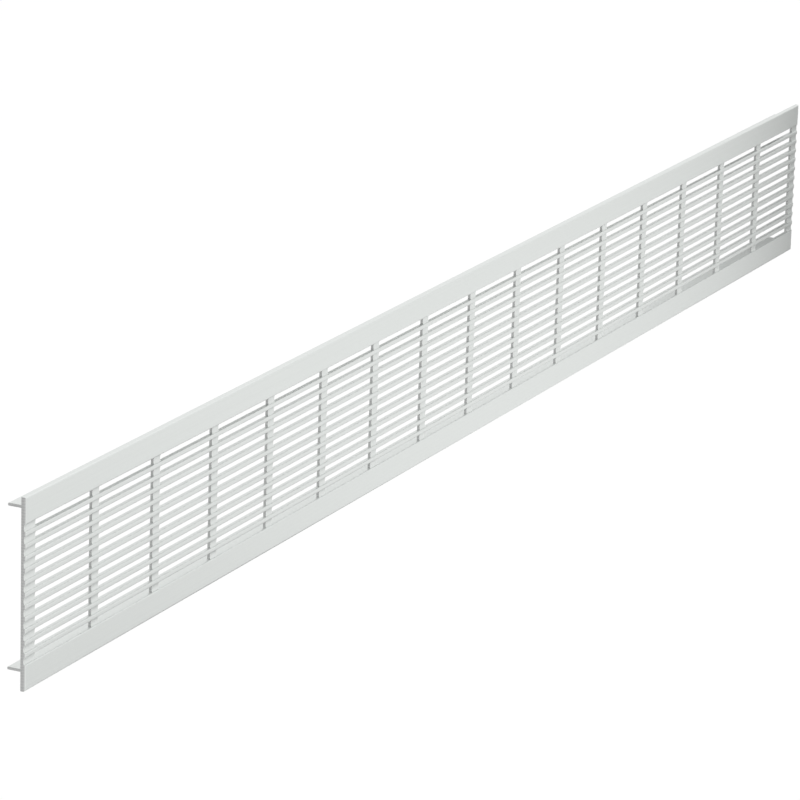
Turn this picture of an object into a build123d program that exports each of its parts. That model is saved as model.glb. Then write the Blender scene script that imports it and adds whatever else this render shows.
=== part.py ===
"""Ventilation grille: one length of extruded aluminium trim with slots through its groove floors.

The grille closes a long cut-out in a plinth, a worktop or a door. Its two flanges go into the
cut-out and the back of its front plate seats on the panel round it.

Millimetres. +X runs along the grille, the front faces -Y and +Z is up. The origin is the middle
of the plate's back face, which is the seat.
"""

import os

from build123d import *

# Overall size
length = 800.0
height = 80.0

# Front plate: the grooves are sunk into the front and leave a floor behind them. The floor is
# hollow, deepest along its middle, and the depth is measured there
floor_thickness = 1.2
groove_depth = 0.8
groove_hollow = 0.25
outer_edge_radius = 0.8
end_edge_radius = 1.0

# Rows: grooves and the ribs between them, with a plain band of at least this height above and below
slot_height = 3.0
rib_height = 2.0
least_band_height = 10.5
rib_edge_radius = 0.5

# Windows: each is one slot in every row, and a web is left between two of them
window_length = 43.9
web_width = 5.5
left_margin = 8.6
least_right_margin = 5.0

# Flanges on the back
flange_reach = 9.6
flange_thickness = 1.2
flange_inset = 5.5
flange_cut_back = 6.0
flange_root_radius = 0.5
flange_tip_radius = 0.4

# Worked out from the sizes above
plate_thickness = floor_thickness + groove_depth
groove_wall = groove_depth - groove_hollow
row_pitch = slot_height + rib_height
row_count = int((height - 2 * least_band_height + rib_height) // row_pitch)
window_pitch = window_length + web_width
window_room = length - left_margin - least_right_margin
window_count = int((window_room + web_width) // window_pitch)
windows_span = window_count * window_pitch - web_width
windows_middle = left_margin + windows_span / 2 - length / 2
flange_middle = height / 2 - flange_inset - flange_thickness / 2
flange_length = length - 2 * flange_cut_back

# One groove from the end, sunk from x = 0: two walls, and the hollow floor as an arc between them
with BuildSketch() as groove:
    with BuildLine():
        Polyline(
            (groove_wall, slot_height / 2),
            (0, slot_height / 2),
            (0, -slot_height / 2),
            (groove_wall, -slot_height / 2),
        )
        ThreePointArc(
            (groove_wall, -slot_height / 2),
            (groove_depth, 0),
            (groove_wall, slot_height / 2),
        )
    make_face()

with BuildPart() as grille_profile:
    # The extruded section, drawn from the end: the sketch's x is Y and its y is Z
    with BuildSketch(Plane.YZ.offset(-length / 2)) as section:
        with Locations((-plate_thickness, 0)):
            Rectangle(plate_thickness, height, align=(Align.MIN, Align.CENTER))
            with GridLocations(0, row_pitch, 1, row_count):
                add(groove.sketch, mode=Mode.SUBTRACT)
        with GridLocations(0, 2 * flange_middle, 1, 2):
            Rectangle(flange_reach, flange_thickness, align=(Align.MIN, Align.CENTER))

        # Corners from front to back: the plate's front, the groove walls' ends, its back, the tips
        tips = section.vertices().group_by(Axis.X)[3]
        fillet(tips, flange_tip_radius)
        back_corners = section.vertices().group_by(Axis.X)[2].sort_by(Axis.Y)
        fillet(back_corners[1:-1], flange_root_radius)
        front_corners = section.vertices().group_by(Axis.X)[0].sort_by(Axis.Y)
        fillet(front_corners[1:-1], rib_edge_radius)
        front_corners = section.vertices().group_by(Axis.X)[0].sort_by(Axis.Y)
        fillet([front_corners[0], front_corners[-1]], outer_edge_radius)
    extrude(amount=length)

    # The slots go through the groove floors only, so every rib keeps the plate's full thickness
    with BuildSketch(Plane.XZ):
        with Locations((windows_middle, 0)):
            with GridLocations(window_pitch, row_pitch, window_count, row_count):
                Rectangle(window_length, slot_height)
    extrude(amount=plate_thickness, mode=Mode.SUBTRACT)

    # The plan from above: the plate's front edges are rounded at both ends, and the flanges are
    # milled away there, flush with the plate's back
    with BuildSketch(Plane.XY.offset(-height / 2)) as plan:
        with Locations((0, -plate_thickness)):
            Rectangle(length, plate_thickness, align=(Align.CENTER, Align.MIN))
        fillet(plan.vertices().group_by(Axis.Y)[0], end_edge_radius)
        Rectangle(flange_length, flange_reach, align=(Align.CENTER, Align.MIN))
    extrude(amount=height, mode=Mode.INTERSECT)

grille_profile.part.label = "grille_profile"
os.makedirs("parts", exist_ok=True)
export_step(grille_profile.part, "parts/grille_profile.step")
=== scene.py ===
# %% [markdown]
# # A ventilation grille in anodised aluminium
#
# The grille is one length of extruded aluminium, 800 mm long. A press pushes hot metal through a
# die, and that gives the front plate, its ribs and grooves and the two flanges on its back in a
# single pass. Slots are then punched through the groove floors, the flanges are milled back at both
# ends, and the whole bar is etched and anodised in its natural silver.
#
# The shape comes finished from the CAD model, so this lesson is about the rest: a camera, a metal
# that looks extruded and anodised, and the soft white studio that such a metal mirrors.

# %% Load the fixed frame
import math

import bmesh
import bpy
from mathutils import Matrix, Vector


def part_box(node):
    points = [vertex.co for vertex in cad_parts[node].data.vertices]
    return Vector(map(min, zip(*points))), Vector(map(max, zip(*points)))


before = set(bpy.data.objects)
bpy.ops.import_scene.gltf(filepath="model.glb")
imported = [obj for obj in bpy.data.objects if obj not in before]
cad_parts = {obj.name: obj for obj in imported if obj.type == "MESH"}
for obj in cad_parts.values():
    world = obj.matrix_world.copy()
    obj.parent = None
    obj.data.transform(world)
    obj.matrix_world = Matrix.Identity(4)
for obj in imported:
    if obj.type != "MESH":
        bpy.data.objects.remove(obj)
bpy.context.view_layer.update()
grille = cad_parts["grille_profile"]
grille_low, grille_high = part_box("grille_profile")

# %% [markdown]
# ## The camera
#
# The picture is a long, narrow thing seen from its left end, from a little above, through a long
# lens. A long lens stands far off, so upright edges stay nearly upright although the camera looks
# down. The camera is placed by the point of the front that it looks at, by two angles and by a
# distance, because these can be read and changed one at a time. Azimuth 0 looks straight at the
# front, and a negative azimuth comes from the left.

# %% Camera
MM = 0.001
camera_azimuth = math.radians(-63.9)
camera_elevation = math.radians(16.7)
camera_roll = math.radians(1.73)
camera_distance = 2.097
lens_mm = 209.8
looked_at = Vector((-0.0737, grille_low.y, -0.0038))

away = Vector(
    (
        math.sin(camera_azimuth) * math.cos(camera_elevation),
        -math.cos(camera_azimuth) * math.cos(camera_elevation),
        math.sin(camera_elevation),
    )
)
camera_data = bpy.data.cameras.new("grille_camera")
camera_data.lens = lens_mm
camera = bpy.data.objects.new("grille_camera", camera_data)
bpy.context.scene.collection.objects.link(camera)
turn = (-away).to_track_quat("-Z", "Y").to_matrix().to_4x4()
camera.matrix_world = (
    Matrix.Translation(looked_at + away * camera_distance)
    @ turn
    @ Matrix.Rotation(camera_roll, 4, "Z")
)
bpy.context.scene.camera = camera
print("camera at", [round(v, 3) for v in camera.location])

# %% [markdown]
# ## Two small helpers
#
# Colours are written as sRGB hex values, as a picture editor shows them, and Blender's shaders
# want linear light. One function turns the one into the other. The second adds a node with its
# settings and its links, so that each material below reads as a list of what it does.


# %% Helpers
def colour(hex_value):
    """An sRGB hex colour as linear red, green, blue and alpha."""
    channels = []
    for start in (1, 3, 5):
        share = int(hex_value[start : start + 2], 16) / 255
        if share <= 0.04045:
            channels.append(share / 12.92)
        else:
            channels.append(((share + 0.055) / 1.055) ** 2.4)
    return (*channels, 1.0)


def add_node(tree, kind, settings=None, inputs=None):
    """Adds a node. An input is a plain value, or the socket of another node to link from."""
    node = tree.nodes.new(kind)
    for name, value in (settings or {}).items():
        setattr(node, name, value)
    for name, value in (inputs or {}).items():
        socket = node.inputs[name]
        if isinstance(value, bpy.types.NodeSocket):
            tree.links.new(value, socket)
        else:
            socket.default_value = value
    return node


print("a mid grey, #808080, is", round(colour("#808080")[0], 3), "in linear light")

# %% [markdown]
# ## The metal
#
# Natural anodised aluminium is bare metal under a few thousandths of a millimetre of clear oxide.
# The metal is etched first, which takes off the shine of the die and leaves a fine, even satin: it
# mirrors the room only as broad soft light and shade. Two marks of its making stay. The die leaves
# faint lines that run the full length, and where a tool went across the grain, at the sawn ends,
# the milled flanges and the punched slots, the surface is duller and marked by the tool. These cut
# faces are also painted greyer: that grey is painted shade, the shade that faces looking along X
# get.
#
# One material does both, and picks by the way a face looks: cut faces look along X, and extruded
# ones never do. That keeps the bar one piece, as it is, and needs no mask drawn on the mesh. The
# same choice lays the painted shade on the cut faces.

# %% Anodised aluminium
die_line_spacing = 0.9 * MM
die_line_length = 400 * MM
die_line_height = 0.02 * MM
grain_size = 0.6 * MM
tool_mark_spacing = 1.2 * MM
radians_per_wave_unit = 20


def anodised_aluminium():
    """Etched, clear-anodised aluminium extrusion, with lines from the die and duller cut faces,
    which are painted greyer as shade.
    """
    material = bpy.data.materials.new("natural_anodised_aluminium_extrusion")
    material.use_nodes = True
    tree = material.node_tree
    tree.nodes.clear()
    place = add_node(tree, "ShaderNodeTexCoord")

    # Die lines: noise that is drawn out along X. Real lines are some 0.1 mm apart, too fine to
    # show from here, so they are drawn as coarse as the picture needs.
    drawn_out = add_node(
        tree,
        "ShaderNodeMapping",
        {"vector_type": "POINT"},
        {
            "Vector": place.outputs["Object"],
            "Scale": (1 / die_line_length, 1 / die_line_spacing, 1 / die_line_spacing),
        },
    )
    die_lines = add_node(
        tree,
        "ShaderNodeTexNoise",
        {"noise_dimensions": "3D"},
        {"Vector": drawn_out.outputs["Vector"], "Scale": 1.0, "Detail": 3.0, "Roughness": 0.6},
    )

    # The etch leaves a fine grain, the same in every direction
    grain = add_node(
        tree,
        "ShaderNodeTexNoise",
        {"noise_dimensions": "3D"},
        {"Vector": place.outputs["Object"], "Scale": 1 / grain_size, "Detail": 2.0},
    )

    # 1 on the faces that look along X, which are the cut ones, and 0 on the rest. It makes the cut
    # faces rougher, and it also lays painted shade on them
    facing = add_node(tree, "ShaderNodeSeparateXYZ", None, {"Vector": place.outputs["Normal"]})
    facing_x = add_node(
        tree, "ShaderNodeMath", {"operation": "ABSOLUTE"}, {0: facing.outputs["X"]}
    )
    cut = add_node(
        tree, "ShaderNodeMath", {"operation": "GREATER_THAN"}, {0: facing_x.outputs[0], 1: 0.7}
    )

    # Tool marks on the cut faces: bands one above the other, bent by noise
    tool_marks = add_node(
        tree,
        "ShaderNodeTexWave",
        {"wave_type": "BANDS", "bands_direction": "Z"},
        {
            "Vector": place.outputs["Object"],
            "Scale": math.tau / radians_per_wave_unit / tool_mark_spacing,
            "Distortion": 3.0,
            "Detail": 2.0,
        },
    )

    # Extruded faces are a light silver, barely green. Cut faces are painted a shade greyer, which
    # is painted shade on the faces that look along X, with the tool mark bands in it
    line_colour = add_node(
        tree,
        "ShaderNodeMix",
        {"data_type": "RGBA"},
        {
            "Factor": die_lines.outputs["Fac"],
            "A": colour("#DFE2E0"),
            "B": colour("#E4E7E5"),
        },
    )
    # The grey of the cut faces is painted shade, not a colour the metal has, with tool mark bands
    # on top
    tool_marks_and_painted_shade = add_node(
        tree,
        "ShaderNodeMix",
        {"data_type": "RGBA"},
        {
            "Factor": tool_marks.outputs["Fac"],
            "A": colour("#C0C1C1"),
            "B": colour("#CACBCA"),
        },
    )
    # Where the mask is 1, the cut faces take the painted shade colour instead of the silver
    surface_colour = add_node(
        tree,
        "ShaderNodeMix",
        {"data_type": "RGBA"},
        {
            "Factor": cut.outputs[0],
            "A": line_colour.outputs["Result"],
            "B": tool_marks_and_painted_shade.outputs["Result"],
        },
    )

    # The grain makes the satin a little uneven, and a cut face is rougher still
    satin = add_node(
        tree,
        "ShaderNodeMapRange",
        None,
        {"Value": grain.outputs["Fac"], "To Min": 0.40, "To Max": 0.46},
    )
    roughness = add_node(
        tree,
        "ShaderNodeMix",
        {"data_type": "FLOAT"},
        {"Factor": cut.outputs[0], "A": satin.outputs["Result"], "B": 0.55},
    )
    lines_bump = add_node(
        tree,
        "ShaderNodeBump",
        None,
        {"Height": die_lines.outputs["Fac"], "Strength": 0.15, "Distance": die_line_height},
    )
    shader = add_node(
        tree,
        "ShaderNodeBsdfPrincipled",
        None,
        {
            "Base Color": surface_colour.outputs["Result"],
            "Metallic": 1.0,
            "Roughness": roughness.outputs["Result"],
            "Normal": lines_bump.outputs["Normal"],
        },
    )
    add_node(
        tree, "ShaderNodeOutputMaterial", None, {"Surface": shader.outputs["BSDF"]}
    )
    return material


aluminium = anodised_aluminium()
grille.data.materials.clear()
grille.data.materials.append(aluminium)
print(aluminium.name, "has", len(aluminium.node_tree.nodes), "nodes")
print("grille triangles:", len(grille.data.polygons))

# %% [markdown]
# ## The white studio
#
# A metal shows what stands round it, so the room is part of the finish. The floor lies well below
# the grille, as under a thing that hangs on a wall, and it and the sky are plain white to the
# camera and to the metal alike. The floor stays a little bit of real paper, so that a shadow still
# falls on it.

# %% Floor and sky
floor_drop = 0.45
floor_half_size = 12.0
floor_glow_share = 0.85
sky_as_lamp = 1.15


def white_to_the_eye(tree):
    """1 for rays that the camera, a mirror or a glass sends out, and 0 for the rest."""
    path = add_node(tree, "ShaderNodeLightPath")
    camera_or_gloss = add_node(
        tree,
        "ShaderNodeMath",
        {"operation": "MAXIMUM"},
        {0: path.outputs["Is Camera Ray"], 1: path.outputs["Is Glossy Ray"]},
    )
    return add_node(
        tree,
        "ShaderNodeMath",
        {"operation": "MAXIMUM"},
        {0: camera_or_gloss.outputs[0], 1: path.outputs["Is Transmission Ray"]},
    )


def studio_floor():
    """One large square of white paper, below the grille."""
    shape = bmesh.new()
    bmesh.ops.create_grid(shape, x_segments=1, y_segments=1, size=floor_half_size)
    bmesh.ops.translate(shape, vec=(0, 0, grille_low.z - floor_drop), verts=shape.verts)
    mesh = bpy.data.meshes.new("studio_floor")
    shape.to_mesh(mesh)
    shape.free()
    floor = bpy.data.objects.new("studio_floor", mesh)
    bpy.context.scene.collection.objects.link(floor)

    material = bpy.data.materials.new("matt_white_paper")
    material.use_nodes = True
    tree = material.node_tree
    tree.nodes.clear()
    paper = add_node(
        tree, "ShaderNodeBsdfDiffuse", None, {"Color": colour("#F4F4F3")}
    )
    glow = add_node(
        tree, "ShaderNodeEmission", None, {"Color": colour("#FFFFFF"), "Strength": 1.0}
    )
    eye = white_to_the_eye(tree)
    share = add_node(
        tree,
        "ShaderNodeMath",
        {"operation": "MULTIPLY"},
        {0: eye.outputs[0], 1: floor_glow_share},
    )
    mixed = add_node(
        tree,
        "ShaderNodeMixShader",
        None,
        {0: share.outputs[0], 1: paper.outputs[0], 2: glow.outputs[0]},
    )
    add_node(tree, "ShaderNodeOutputMaterial", None, {"Surface": mixed.outputs[0]})
    mesh.materials.append(material)
    return floor


def studio_sky():
    """An even world: plain white to the eye, and a little brighter as a lamp."""
    world = bpy.data.worlds.new("studio_sky")
    bpy.context.scene.world = world
    world.use_nodes = True
    tree = world.node_tree
    tree.nodes.clear()
    eye = white_to_the_eye(tree)
    strength = add_node(
        tree,
        "ShaderNodeMapRange",
        None,
        {"Value": eye.outputs[0], "To Min": sky_as_lamp, "To Max": 1.0},
    )
    sky = add_node(
        tree,
        "ShaderNodeBackground",
        None,
        {"Color": colour("#FFFFFF"), "Strength": strength.outputs["Result"]},
    )
    add_node(tree, "ShaderNodeOutputWorld", None, {"Surface": sky.outputs[0]})


floor = studio_floor()
studio_sky()
print("floor", round(floor_drop / MM), "mm below the grille")

# %% [markdown]
# ## Grey cards
#
# In an all-white room a satin metal turns flat, and its edges vanish. A photographer stands grey
# cards just outside the picture, and the metal picks them up as soft shade. Three do it here. One
# beyond the right end lets the bands fall off towards that end. One below the middle, mostly behind
# it, is mirrored by the under-edges of the ribs in the left half and darkens them. The last one,
# far to the left, darkens what looks that way: the left end and the slots' right-hand walls.
#
# A card is a thin box, sized along X, Y and Z, so nothing has to be turned. Only reflections see
# it: it is hidden from the camera and throws no shadow. Its grey is a fixed glow, painted shade
# that no lamp lights.

# %% Grey cards
card_thickness = 2 * MM


def grey_card(name, place, size, hex_value):
    """A card of fixed grey glow that only the metal sees: it shows in reflections as painted shade
    and throws no shadow.
    """
    shape = bmesh.new()
    bmesh.ops.create_cube(shape, size=1.0)
    bmesh.ops.scale(shape, vec=size, verts=shape.verts)
    bmesh.ops.translate(shape, vec=place, verts=shape.verts)
    mesh = bpy.data.meshes.new(name)
    shape.to_mesh(mesh)
    shape.free()
    card = bpy.data.objects.new(name, mesh)
    bpy.context.scene.collection.objects.link(card)
    card.visible_camera = False
    card.visible_diffuse = False
    card.visible_transmission = False
    card.visible_shadow = False

    material = bpy.data.materials.new("shade_card_glow_" + name)
    material.use_nodes = True
    tree = material.node_tree
    tree.nodes.clear()
    # The card's grey is painted shade: a fixed glow, not paint lit by the lamps
    card_glow = add_node(tree, "ShaderNodeEmission", None, {"Color": colour(hex_value)})
    add_node(tree, "ShaderNodeOutputMaterial", None, {"Surface": card_glow.outputs[0]})
    mesh.materials.append(material)
    return card


cards = [
    grey_card("card_right_end", (0.54, 0.03, -0.07), (card_thickness, 0.22, 0.26), "#606060"),
    grey_card("card_below", (0.08, 0.22, -0.25), (0.34, 0.80, card_thickness), "#909090"),
    grey_card("card_left", (-1.3, 0.40, -0.25), (0.9, 0.7, card_thickness), "#808080"),
]
for card in cards:
    print(card.name, "measures", [round(v, 3) for v in card.dimensions])

# %% [markdown]
# ## Softboxes
#
# The white room gives nearly all the light. A large softbox overhead draws the object's soft shadow
# on the floor, and a weak one in front, low and to the right, stands where the front plate mirrors
# it, so that the middle of the bands is the lightest part of the picture.


# %% Softboxes
def softbox(name, place, aim, width, depth, watts):
    """A rectangular area lamp at a place, turned towards a point."""
    lamp_data = bpy.data.lights.new(name, "AREA")
    lamp_data.shape = "RECTANGLE"
    lamp_data.size = width
    lamp_data.size_y = depth
    lamp_data.energy = watts
    lamp = bpy.data.objects.new(name, lamp_data)
    bpy.context.scene.collection.objects.link(lamp)
    direction = Vector(aim) - Vector(place)
    lamp.matrix_world = (
        Matrix.Translation(place) @ direction.to_track_quat("-Z", "Y").to_matrix().to_4x4()
    )
    return lamp


middle = (0.0, 0.0, 0.0)
lamps = [
    softbox("overhead_softbox", (0.2, -0.4, 1.5), middle, 1.6, 1.0, 3.0),
    softbox("low_softbox", (1.25, -0.35, -0.36), middle, 1.0, 0.25, 0.10),
]
for lamp in lamps:
    print(lamp.name, lamp.data.energy, "W at", [round(v, 2) for v in lamp.location])

# %% [markdown]
# ## How the picture is shown
#
# The Standard view keeps colours as they are written. A filmic one would grey the white paper.

# %% The view
bpy.context.scene.view_settings.view_transform = "Standard"
print("view transform:", bpy.context.scene.view_settings.view_transform)
